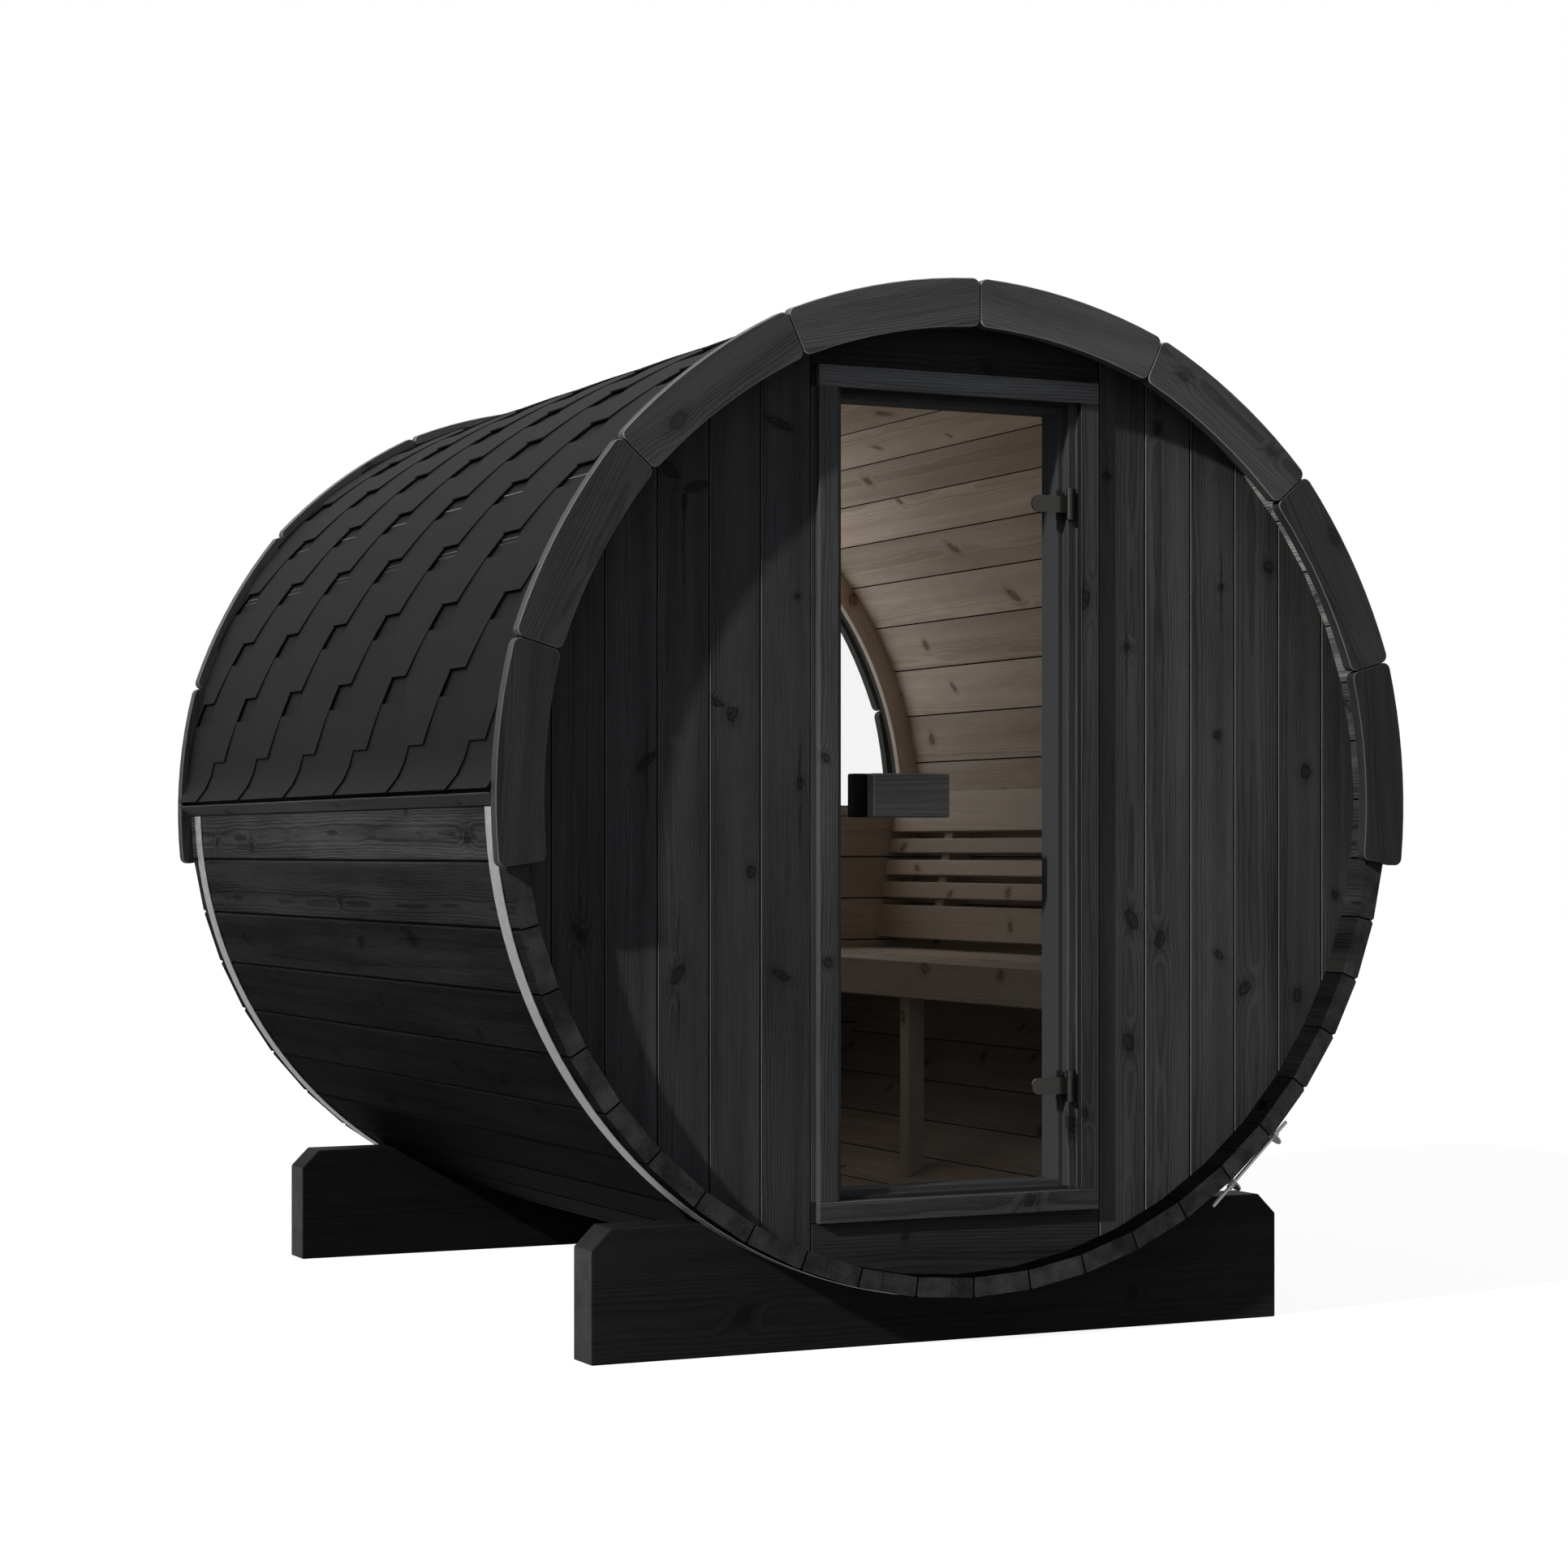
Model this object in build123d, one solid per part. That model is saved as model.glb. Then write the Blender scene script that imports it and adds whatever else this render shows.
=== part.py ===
from build123d import *
from math import cos, pi, radians, sin, sqrt, tan
import os

# Barrel sauna, millimetres. The barrel lies along Y with its door end towards -Y, and Z is up.
# The origin is on the ground under the middle of the barrel.

# Barrel
STAVE_LENGTH = 2200.0
STAVE_COUNT = 48
R_OUT = 1020.0
R_IN = 980.0
AXIS_Z = 1122.0
STAVE_GAP = 0.8
STAVE_CHAMFER = 5.0

# Fascia arches that close both ends of the roof, radii at the middle of a board
FASCIA_T = 28.0
FASCIA_R_OUT = 1046.5
FASCIA_R_IN = 948.0
FASCIA_END_RISE = 3.0
FASCIA_COUNT = 8
FASCIA_STEP = 24.5
FASCIA_GAP = 1.0
FASCIA_CORNER = 16.0
CORNER_FLATS = 4

# End walls, set back inside the staves
WALL_INSET = 66.0
WALL_T = 42.0
CROZE_DEEP = 10.0
CROZE_CLEAR = 0.5
WALL_R = R_IN + CROZE_DEEP - 0.5
BOARD_PITCH = 112.0
BOARD_GAP = 0.6
DOOR_BAY_HALF = 337.0

# Door frame, its trim and the glass door
OPEN_HALF = 283.0
SILL_Z = 303.0
HEAD_Z = 1945.0
TRIM_W = 43.0
TRIM_T = 17.0
FRAME_DEPTH = 99.0
LIP_HALF = 266.0
LIP_Z = (310.0, 1938.0)
LIP_BACK = 6.0
STOP = 11.0
GLASS_T = 8.0
GLASS_HALF = 261.0
GLASS_Z0 = 315.0
GLASS_Z1 = 1933.0
GLASS_BACK = 12.5
DOOR_CLEAR = 10.0

# Hinges
HINGE_X = 261.0
HINGE_OUT = 18.0
HINGE_Z = (519.0, 1734.0)
KNUCKLE_R = 6.0
KNUCKLE_LONG = 66.0
PLATE_HIGH = 35.0
PLATE_T = 5.0
PLATE_X0 = 179.0
PIN_R = 3.0
LEAF_T = 2.5
PAD_X = (246.0, 260.0)
PAD_HIGH = 63.0
PAD_T = 4.0

# Handle blocks on both faces of the glass
HANDLE_X = (-204.5, -30.0)
HANDLE_INNER_X = (-229.0, -30.0)
HANDLE_Z = (1078.0, 1167.0)
HANDLE_T = 31.0
HANDLE_CORNER = 4.0

# Rear window
WINDOW_R = 930.0
WINDOW_Z = 1133.0
WINDOW_RAIL = 27.5

# Bench and its back rest
BENCH_X = 381.0
SEAT_Z = 750.0
APRON_HIGH = 88.0
BENCH_T = 28.0
BENCH_END = 3.0
SEAT_BOARDS = 5
SEAT_GAP = 4.0
BEARER = 44.0
BEARER_HIGH = 60.0
LEG_Y = -16.0
BACK_BOARDS = ((778.0, 865.0), (885.0, 927.0), (946.0, 986.0), (1005.0, 1043.0), (1062.0, 1167.0))
BACK_T = 22.0
BACK_LEAN = 9.0
BACK_FOOT = (851.0, 776.0)
UPRIGHT_Y = (-700.0, 0.0, 700.0)

# Roof
ROOF_T = 8.0
FLARE_X = 1056.0
FLARE_EDGE = 10.0
FLARE_TOP = 43.0
BATTEN_H = 24.0

# Steel bands, each drawn tight by a threaded rod between two lugs
BAND_W = 51.0
BAND_T = 1.5
BAND_INSET = 70.0
BAND_ENDS = (181.5, 358.5)
LUG_AT = (309.0, 316.9)
LUG_T = 3.0
LUG_R = 21.0
ROD_R = 4.0
ROD_LONG = 256.0
ROD_SHIFT = 11.5
ROD_RING = 1062.0
NUT_FLATS = 13.0
NUT_HIGH = 11.0

# Cradles
CRADLE_LONG = 1600.0
CRADLE_HIGH = 268.0
CRADLE_T = 93.0
CRADLE_CHAMFER = 43.0
CRADLE_FRONT = 127.0
CRADLE_REAR = 2008.0

HALF = STAVE_LENGTH / 2 + FASCIA_T
FRONT = -HALF
WALL_FRONT = -STAVE_LENGTH / 2 + WALL_INSET
WALL_BACK = WALL_FRONT + WALL_T
GLASS_Y = WALL_FRONT + GLASS_BACK
LIP_Y = WALL_FRONT + LIP_BACK
HINGE_Y = GLASS_Y - HINGE_OUT


def slab(outline, y0, y1):
    """A flat outline of (x, z) points, drawn in the end view and extruded from y0 to y1."""
    face = Plane.XZ.offset(-y1) * make_face(Polyline(*outline, close=True))
    return extrude(face, amount=y1 - y0)


def block(x0, x1, y0, y1, z0, z1):
    """A square-edged piece between two corners."""
    return Pos((x0 + x1) / 2, (y0 + y1) / 2, (z0 + z1) / 2) * Box(x1 - x0, y1 - y0, z1 - z0)


def drum(radius, y0, y1):
    """A cylinder about the barrel's axis."""
    return Pos(0, (y0 + y1) / 2, AXIS_Z) * Cylinder(radius, y1 - y0, rotation=(90, 0, 0))


def on_ring(radius, degrees):
    """The (x, z) point at an angle on a circle about the barrel's axis; 0 is +X, 90 the crown."""
    return (radius * cos(radians(degrees)), AXIS_Z + radius * sin(radians(degrees)))


def ring_sector(r0, r1, a0, a1, y0, y1):
    """A curved piece between two radii and two angles."""
    mid = (a0 + a1) / 2
    edges = [
        ThreePointArc(on_ring(r1, a0), on_ring(r1, mid), on_ring(r1, a1)),
        Line(on_ring(r1, a1), on_ring(r0, a1)),
        ThreePointArc(on_ring(r0, a1), on_ring(r0, mid), on_ring(r0, a0)),
        Line(on_ring(r0, a0), on_ring(r1, a0)),
    ]
    return extrude(Plane.XZ.offset(-y1) * make_face(edges), amount=y1 - y0)


def save(name, solids):
    """Write the pieces of one named sub-part to its STEP file."""
    shape = solids[0] if len(solids) == 1 else Compound(children=list(solids))
    export_step(shape, os.path.join("parts", name + ".step"))


def stave(index):
    """One coopered stave: edges on the radius, outer corners eased to V joints, a croze for each end wall."""
    half = radians(180.0 / STAVE_COUNT)
    inner = R_IN * tan(half) - STAVE_GAP / 2
    outer = R_OUT * tan(half) - STAVE_GAP / 2
    edge = STAVE_CHAMFER
    right = [(inner, R_IN), (outer - edge * tan(half), R_OUT - edge), (outer - edge, R_OUT)]
    left = [(-x, r) for x, r in reversed(right)]
    plank = slab(right + left, -STAVE_LENGTH / 2, STAVE_LENGTH / 2)
    for y in (WALL_FRONT + WALL_T / 2, -WALL_FRONT - WALL_T / 2):
        wide = WALL_T / 2 + CROZE_CLEAR
        plank -= block(-outer, outer, y - wide, y + wide, R_IN - 1, R_IN + CROZE_DEEP)
    turn = (index + 0.5) * 360.0 / STAVE_COUNT
    return Pos(0, 0, AXIS_Z) * Rot(0, 90.0 - turn, 0) * plank


def staves():
    """The barrel in four quarters, each a node of twelve staves."""
    quarter = STAVE_COUNT // 4
    names = {"staves_right": -quarter // 2, "staves_top": quarter // 2,
             "staves_left": quarter + quarter // 2, "staves_bottom": 2 * quarter + quarter // 2}
    for name, first in names.items():
        save(name, [stave(first + i) for i in range(quarter)])


def corner_points(radius, degrees, outward, onward):
    """A fascia corner rounded in short flats, from the board's end round to its long edge."""
    size = FASCIA_CORNER
    turn = onward * size / radius
    arm = radius - outward * size
    angle = radians(degrees) + turn
    points = []
    for i in range(CORNER_FLATS + 1):
        sweep = pi / 2 * i / CORNER_FLATS
        along = -onward * size * cos(sweep)
        rise = arm + outward * size * sin(sweep)
        points.append((rise * cos(angle) - along * sin(angle),
                       AXIS_Z + rise * sin(angle) + along * cos(angle)))
    return points


def fascia_board(a0, a1, y0, y1):
    """One board of the arch: its long edges are a little flatter than the barrel, so its ends stand out."""
    mid = (a0 + a1) / 2
    outer, inner = FASCIA_R_OUT + FASCIA_END_RISE, FASCIA_R_IN + FASCIA_END_RISE
    low_outer = corner_points(outer, a0, 1, 1)
    high_outer = corner_points(outer, a1, 1, -1)[::-1]
    high_inner = corner_points(inner, a1, -1, -1)
    low_inner = corner_points(inner, a0, -1, 1)[::-1]
    edges = [
        Polyline(*low_outer),
        ThreePointArc(low_outer[-1], on_ring(FASCIA_R_OUT, mid), high_outer[0]),
        Polyline(*high_outer),
        Line(high_outer[-1], high_inner[0]),
        Polyline(*high_inner),
        ThreePointArc(high_inner[-1], on_ring(FASCIA_R_IN, mid), low_inner[0]),
        Polyline(*low_inner),
        Line(low_inner[-1], low_outer[0]),
    ]
    return extrude(Plane.XZ.offset(-y1) * make_face(edges), amount=y1 - y0)


def fascias():
    """Eight curved boards over each end, with a fine joint between neighbours."""
    gap = FASCIA_GAP / FASCIA_R_OUT * 180 / pi / 2
    for name, y0 in (("fascia_front", FRONT), ("fascia_rear", HALF - FASCIA_T)):
        starts = [90 + (i - FASCIA_COUNT / 2) * FASCIA_STEP for i in range(FASCIA_COUNT)]
        save(name, [fascia_board(a + gap, a + FASCIA_STEP - gap, y0, y0 + FASCIA_T) for a in starts])


def front_wall():
    """Upright boards each side of the door bay, and one level board over and under the door."""
    y0, y1 = WALL_FRONT, WALL_BACK
    disc = drum(WALL_R, y0, y1)
    for name, side in (("front_wall_left", -1), ("front_wall_right", 1)):
        boards = []
        for i in range(6):
            a = DOOR_BAY_HALF + i * BOARD_PITCH + BOARD_GAP / 2
            b = min(a + BOARD_PITCH - BOARD_GAP, R_OUT)
            piece = block(min(side * a, side * b), max(side * a, side * b), y0, y1, 0, 2 * AXIS_Z)
            boards.append(piece & disc)
        save(name, boards)
    w = DOOR_BAY_HALF - BOARD_GAP / 2
    save("front_panel_top", [block(-w, w, y0, y1, HEAD_Z + TRIM_W, 2 * AXIS_Z) & disc])
    save("front_panel_bottom", [block(-w, w, y0, y1, 0, SILL_Z - TRIM_W) & disc])


def door_frame():
    """The frame that lines the doorway, with a lip round the glass and a stop behind it, and its trim."""
    y0, y1 = WALL_FRONT, WALL_FRONT + FRAME_DEPTH
    stop_y = GLASS_Y + GLASS_T + DOOR_CLEAR
    w = DOOR_BAY_HALF - BOARD_GAP / 2
    lip, stop = LIP_HALF, LIP_HALF - STOP
    low, high = LIP_Z
    post = block(OPEN_HALF, w, y0, y1, SILL_Z, HEAD_Z)
    post += block(lip, OPEN_HALF, LIP_Y, y1, SILL_Z, HEAD_Z)
    post += block(stop, lip, stop_y, y1, low, high)
    save("door_jambs", [mirror(post, about=Plane.YZ), post])
    head = block(-w, w, y0, y1, HEAD_Z, HEAD_Z + TRIM_W)
    head += block(-lip, lip, LIP_Y, y1, high, HEAD_Z)
    head += block(-stop, stop, stop_y, y1, high - STOP, high)
    sill = block(-w, w, y0, y1, SILL_Z - TRIM_W, SILL_Z)
    sill += block(-lip, lip, LIP_Y, y1, SILL_Z, low)
    sill += block(-stop, stop, stop_y, y1, low, low + STOP)
    save("door_head_and_sill", [head, sill])
    t0, t1 = WALL_FRONT - TRIM_T, WALL_FRONT
    edge = OPEN_HALF + TRIM_W
    save("door_trim_sides", [block(min(s * OPEN_HALF, s * edge), max(s * OPEN_HALF, s * edge),
                                   t0, t1, SILL_Z, HEAD_Z)
                             for s in (-1, 1)])
    save("door_trim_head", [block(-edge, edge, t0, t1, HEAD_Z, HEAD_Z + TRIM_W)])
    save("door_trim_sill", [block(-edge, edge, t0, t1, SILL_Z - TRIM_W, SILL_Z)])


def door():
    """Frameless glass leaf with two clamped hinges and a wooden block handle on each face."""
    save("door_glass", [block(-GLASS_HALF, GLASS_HALF, GLASS_Y, GLASS_Y + GLASS_T, GLASS_Z0, GLASS_Z1)])
    outer = block(*HANDLE_X, GLASS_Y - HANDLE_T, GLASS_Y, *HANDLE_Z)
    inner = block(*HANDLE_INNER_X, GLASS_Y + GLASS_T, GLASS_Y + GLASS_T + HANDLE_T, *HANDLE_Z)
    save("door_handle_outer", [fillet(outer.edges().filter_by(Axis.Y), HANDLE_CORNER)])
    save("door_handle_inner", [fillet(inner.edges().filter_by(Axis.Y), HANDLE_CORNER)])
    clamps, leaves, pads = [], [], []
    third = PLATE_HIGH / 2
    for z in HINGE_Z:
        plate = block(PLATE_X0 + third, HINGE_X, GLASS_Y - PLATE_T, GLASS_Y, z - third, z + third)
        nose = Pos(PLATE_X0 + third, GLASS_Y - PLATE_T / 2, z) * Cylinder(third, PLATE_T, rotation=(90, 0, 0))
        neck = block(HINGE_X - KNUCKLE_R, HINGE_X, HINGE_Y, GLASS_Y, z - third, z + third)
        barrel = Pos(HINGE_X, HINGE_Y, z) * Cylinder(KNUCKLE_R, 2 * third)
        bore = Pos(HINGE_X, HINGE_Y, z) * Cylinder(PIN_R + 0.05, 4 * third)
        clamps.append(plate + nose + neck + barrel - bore)
        leaf = Pos(HINGE_X, HINGE_Y, z) * Cylinder(PIN_R, KNUCKLE_LONG)
        end = KNUCKLE_LONG / 2 - third - 0.4
        for s in (-1, 1):
            middle = z + s * (third + 0.4 + end / 2)
            leaf += Pos(HINGE_X, HINGE_Y, middle) * Cylinder(KNUCKLE_R, end)
            leaf += block(HINGE_X, LIP_HALF + LEAF_T, HINGE_Y, LIP_Y, middle - end / 2, middle + end / 2)
        half = KNUCKLE_LONG / 2
        leaf += block(LIP_HALF + 1, OPEN_HALF - 1, LIP_Y - LEAF_T, LIP_Y, z - half, z + half)
        leaves.append(leaf)
        pads.append(block(*PAD_X, GLASS_Y + GLASS_T, GLASS_Y + GLASS_T + PAD_T,
                          z - PAD_HIGH / 2, z + PAD_HIGH / 2))
    save("hinge_clamps", clamps)
    save("hinge_leaves", leaves)
    save("hinge_pads", pads)


def rear_wall():
    """Level boards below the window rail, a four-piece arch round the window, and its half-round glass."""
    y1 = -WALL_FRONT
    y0 = y1 - WALL_T
    disc = drum(WALL_R, y0, y1)
    rail = WINDOW_Z - WINDOW_RAIL
    boards = []
    top = rail
    while top > AXIS_Z - WALL_R:
        boards.append(block(-R_OUT, R_OUT, y0, y1, top - BOARD_PITCH + BOARD_GAP, top) & disc)
        top -= BOARD_PITCH
    save("rear_wall_boards", boards)
    save("rear_window_rail", [block(-R_OUT, R_OUT, y0, y1, rail + BOARD_GAP, WINDOW_Z) & disc])
    above = block(-R_OUT, R_OUT, y0, y1, WINDOW_Z, 2 * AXIS_Z)
    arch = [ring_sector(WINDOW_R, WALL_R, 45 * i + 0.03, 45 * (i + 1) - 0.03, y0, y1) & above
            for i in range(4)]
    save("rear_window_arch", arch)
    mid = (y0 + y1) / 2
    pane = drum(WINDOW_R - 1, mid - GLASS_T / 2, mid + GLASS_T / 2) & above
    save("rear_window_glass", [pane])


def bench():
    """One bench along the right wall: apron, seat boards cut to the barrel, bearers and a middle leg."""
    y0, y1 = WALL_BACK + BENCH_END, -WALL_BACK - BENCH_END
    behind = BENCH_X + BENCH_T
    low = SEAT_Z - BENCH_T
    inside = drum(R_IN - 0.5, y0, y1)
    save("bench_apron", [block(BENCH_X, behind, y0, y1, SEAT_Z - APRON_HIGH, SEAT_Z)])
    first = behind + SEAT_GAP / 2
    last = sqrt(R_IN ** 2 - (AXIS_Z - SEAT_Z) ** 2)
    pitch = (last - first) / SEAT_BOARDS
    save("bench_seat", [block(first + i * pitch, first + (i + 1) * pitch - SEAT_GAP,
                              y0, y1, low, SEAT_Z) & inside
                        for i in range(SEAT_BOARDS)])
    middles = (y0 + BEARER / 2, LEG_Y, y1 - BEARER / 2)
    save("bench_bearers", [block(behind, R_IN, y - BEARER / 2, y + BEARER / 2,
                                 low - BEARER_HIGH, low) & inside
                           for y in middles])
    save("bench_leg", [block(behind, behind + BEARER, LEG_Y - BEARER / 2, LEG_Y + BEARER / 2,
                             0, low - BEARER_HIGH) & inside])


def back_rest():
    """Five boards that lean back with the curve of the wall, on three uprights cut to the barrel."""
    y0, y1 = WALL_BACK + BENCH_END, -WALL_BACK - BENCH_END
    foot_x, foot_z = BACK_FOOT
    lean = Pos(foot_x, 0, foot_z) * Rot(0, BACK_LEAN, 0)
    boards = []
    for z0, z1 in BACK_BOARDS:
        rise0, rise1 = [(z - foot_z) / cos(radians(BACK_LEAN)) for z in (z0, z1)]
        boards.append(lean * block(0, BACK_T, y0, y1, rise0, rise1))
    save("backrest_boards", boards)
    base, tip = BACK_BOARDS[0][1] - foot_z, BACK_BOARDS[-1][0] - foot_z
    uprights = []
    for y in UPRIGHT_Y:
        inside = drum(R_IN - 0.5, y - BEARER / 2, y + BEARER / 2)
        post = lean * block(BACK_T, R_IN / 2, y - BEARER / 2, y + BEARER / 2, base - BEARER, tip + BEARER)
        uprights.append(post & inside)
    save("backrest_uprights", uprights)


def roof():
    """The shingle layer over the upper half, flared at its lower edge over a bevelled batten."""
    y0, y1 = -STAVE_LENGTH / 2, STAVE_LENGTH / 2
    r0 = R_OUT / cos(pi / STAVE_COUNT) + 0.2
    r1 = r0 + ROOF_T
    flare = slab([(r0, AXIS_Z), (FLARE_X - 3, AXIS_Z), (FLARE_X, AXIS_Z + FLARE_EDGE),
                  (sqrt(r1 ** 2 - FLARE_TOP ** 2), AXIS_Z + FLARE_TOP),
                  (sqrt(r0 ** 2 - FLARE_TOP ** 2) + 1, AXIS_Z + FLARE_TOP)],
                 y0, y1)
    right = ring_sector(r0, r1, 0.0, 89.95, y0, y1) + (flare - drum(r0, y0, y1))
    save("roof_right", [right])
    save("roof_left", [mirror(right, about=Plane.YZ)])
    top = AXIS_Z - 0.5
    low = top - BATTEN_H
    tip = FLARE_X - 6
    batten = slab([(r0, low), (r0 + 3, low), (tip, top - 3), (tip, top), (r0, top)], y0, y1)
    save("roof_batten_right", [batten])
    save("roof_batten_left", [mirror(batten, about=Plane.YZ)])


def hex_nut(z0):
    """A nut on the local Z axis, standing up from z0."""
    return Pos(0, 0, z0) * extrude(RegularPolygon(NUT_FLATS / 2, 6, major_radius=False), amount=NUT_HIGH)


def bands():
    """A flat steel band round the staves near each end, open on the right where a rod draws it tight."""
    r0 = R_OUT / cos(pi / STAVE_COUNT) + 0.1
    middle = (LUG_AT[0] + LUG_AT[1]) / 2
    spread = (LUG_AT[1] - LUG_AT[0]) / 2
    reach = r0 * sin(radians(spread))
    base = r0 * cos(radians(spread))
    rods = []
    for name, y in (("band_front", -STAVE_LENGTH / 2 + BAND_INSET),
                    ("band_rear", STAVE_LENGTH / 2 - BAND_INSET)):
        site = Pos(0, y, AXIS_Z) * Rot(0, 90 - middle, 0)
        halves = []
        for side, a0, a1 in ((-1, BAND_ENDS[0], LUG_AT[0]), (1, LUG_AT[1], BAND_ENDS[1])):
            strap = ring_sector(r0, r0 + BAND_T, a0, a1, y - BAND_W / 2, y + BAND_W / 2)
            tab = Rectangle(2 * LUG_R, ROD_RING - base, align=(Align.CENTER, Align.MAX)) + Circle(LUG_R)
            tab -= Circle(ROD_R + 0.5)
            lug = extrude(tab, amount=LUG_T / 2, both=True)
            turned = Rot(0, 0, 90) * Rot(90, 0, 0) * lug
            halves.append((strap, site * Pos(-side * reach, 0, ROD_RING) * turned))
        save(name, [strap + lug for strap, lug in halves])
        rod = Pos(0, 0, ROD_SHIFT) * Cylinder(ROD_R, ROD_LONG)
        start = reach + LUG_T / 2 + 0.1
        nut = hex_nut(start)
        rod += nut + mirror(nut, about=Plane.XY)
        rods.append(site * Pos(0, 0, ROD_RING) * Rot(0, 90, 0) * rod)
    save("band_tensioners", rods)


def cradles():
    """Two boards on edge with a saddle that takes the barrel."""
    w, h, c = CRADLE_LONG / 2, CRADLE_HIGH, CRADLE_CHAMFER
    outline = [(-w, 0), (w, 0), (w, h - c), (w - c, h), (-w + c, h), (-w, h - c)]
    r0 = R_OUT / cos(pi / STAVE_COUNT) + 0.1
    for name, start in (("cradle_front", CRADLE_FRONT), ("cradle_rear", CRADLE_REAR)):
        y0 = FRONT + start
        save(name, [slab(outline, y0, y0 + CRADLE_T) - drum(r0, y0 - 1, y0 + CRADLE_T + 1)])


os.makedirs("parts", exist_ok=True)
staves()
fascias()
front_wall()
door_frame()
door()
rear_wall()
bench()
back_rest()
roof()
bands()
cradles()
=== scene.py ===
# %% [markdown]
# # A barrel sauna
# The sauna is a cask of softwood staves that lies on two cradles. Its joinery comes from the CAD model,
# and this lesson gives it grain, stain, shingles, steel and glass. The first cell loads the model as a
# fixed frame: every piece made later is in metres, in the same place as the part that it dresses.

# %% Load the frame
import random
from math import atan2, cos, exp, pi, radians, sin

import bmesh
import bpy
import numpy as np
from mathutils import Matrix, Vector


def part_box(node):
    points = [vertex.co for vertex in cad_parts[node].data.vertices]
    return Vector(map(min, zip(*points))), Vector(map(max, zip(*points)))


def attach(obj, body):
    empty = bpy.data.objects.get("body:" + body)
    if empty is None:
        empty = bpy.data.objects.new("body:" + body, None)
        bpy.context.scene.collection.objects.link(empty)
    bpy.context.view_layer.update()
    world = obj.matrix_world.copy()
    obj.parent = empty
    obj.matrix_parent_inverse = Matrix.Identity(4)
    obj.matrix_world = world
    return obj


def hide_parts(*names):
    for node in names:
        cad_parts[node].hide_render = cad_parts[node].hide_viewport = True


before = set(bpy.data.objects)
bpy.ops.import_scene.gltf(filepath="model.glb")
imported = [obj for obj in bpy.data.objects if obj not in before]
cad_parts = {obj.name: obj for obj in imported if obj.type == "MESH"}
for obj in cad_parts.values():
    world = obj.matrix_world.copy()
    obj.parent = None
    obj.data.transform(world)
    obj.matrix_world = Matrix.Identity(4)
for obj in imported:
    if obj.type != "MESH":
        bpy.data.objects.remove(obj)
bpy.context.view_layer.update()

# %% [markdown]
# The barrel lies along Y with the door towards -Y, and its axis is level. Most measures below are read
# from the CAD pieces, so that they follow the model: the height of the axis, the radius and the ends from
# the staves, and from the rear glass the plane where the stained outside changes to bare wood inside.

# %% Measures of the barrel
stave_low, stave_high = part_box("staves_left")
AXIS_Z = (stave_low.z + stave_high.z) / 2
STAVE_END = stave_high.y
R_OUT = -stave_low.x
STAVE_T = 0.040
R_IN = R_OUT - STAVE_T
GLASS_MIDDLE = sum(corner.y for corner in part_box("rear_window_glass")) / 2
print("axis at", round(AXIS_Z, 4), "staves end at", round(STAVE_END, 4), "outer radius", round(R_OUT, 4))

# %% [markdown]
# ## The camera
# The photograph was taken level, from the left of the door, a little below the middle of the barrel. A
# level camera keeps upright boards upright, and the height of the horizon in the picture is set with a
# small upward shift of the film, not by tilting.

# %% Camera
FILM = 36.0
PHOTO = 1932
FOCAL_PX = 4067.6
HORIZON_PX = 1048.86

camera_data = bpy.data.cameras.new("camera")
camera_data.sensor_width = FILM
camera_data.lens = FOCAL_PX / PHOTO * FILM
camera_data.shift_y = (HORIZON_PX - PHOTO / 2) / PHOTO
camera = bpy.data.objects.new("camera", camera_data)
camera.location = (-3.2552, -6.9960, 1.0089)
camera.rotation_euler = (radians(90), 0, radians(-25.614))
bpy.context.scene.collection.objects.link(camera)
bpy.context.scene.camera = camera
print("lens", round(camera_data.lens, 2), "mm, shift", round(camera_data.shift_y, 4))

# %% [markdown]
# ## Light and backdrop
# The shadow that the arch throws on the left of the end wall gives the direction of the key light: it
# comes low from the left, so that it grazes the boards and picks out their joints. A sun lamp has
# parallel rays, and a degree or two of angle softens the edges of its shadows.

# %% Key light
KEY_DIRECTION = Vector((3.05, 1.0, -1.8))
KEY_STRENGTH = 3.1
KEY_COLOR = (1.0, 0.985, 0.95)
KEY_SOFTNESS = radians(1.6)

bpy.context.scene.view_settings.view_transform = "Standard"
key_data = bpy.data.lights.new("key", "SUN")
key_data.energy = KEY_STRENGTH
key_data.color = KEY_COLOR
key_data.angle = KEY_SOFTNESS
key = bpy.data.objects.new("key", key_data)
key.rotation_euler = KEY_DIRECTION.to_track_quat("-Z", "Y").to_euler()
key.location = (-4, -2, 4)
bpy.context.scene.collection.objects.link(key)
print("sun along", [round(part, 2) for part in KEY_DIRECTION.normalized()])

# %% [markdown]
# In a studio a white sheet hangs behind the subject, and here it shines in through the rear window. An
# area lamp of that window's size, just outside it and hidden from the camera, stands for this light.

# %% Window light
WINDOW_SHINE = 0.65
WINDOW_GAP = 0.04

window_low, window_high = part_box("rear_window_glass")
window_data = bpy.data.lights.new("window_light", "AREA")
window_data.shape = "RECTANGLE"
window_data.size = window_high.x - window_low.x
window_data.size_y = window_high.z - window_low.z
window_data.energy = pi * window_data.size * window_data.size_y * WINDOW_SHINE
window_light = bpy.data.objects.new("window_light", window_data)
window_light.location = (0, STAVE_END + WINDOW_GAP, (window_low.z + window_high.z) / 2)
window_light.rotation_euler = (radians(-90), 0, 0)
window_light.visible_camera = False
window_light.visible_glossy = False
window_light.visible_transmission = False
bpy.context.scene.collection.objects.link(window_light)
print("window light", round(window_data.energy, 2), "W")

# %% [markdown]
# The shader trees below are put together with a few helpers: one makes a Math node, one a smooth step,
# and one a mix of two colours.

# %% Shader helpers


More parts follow.
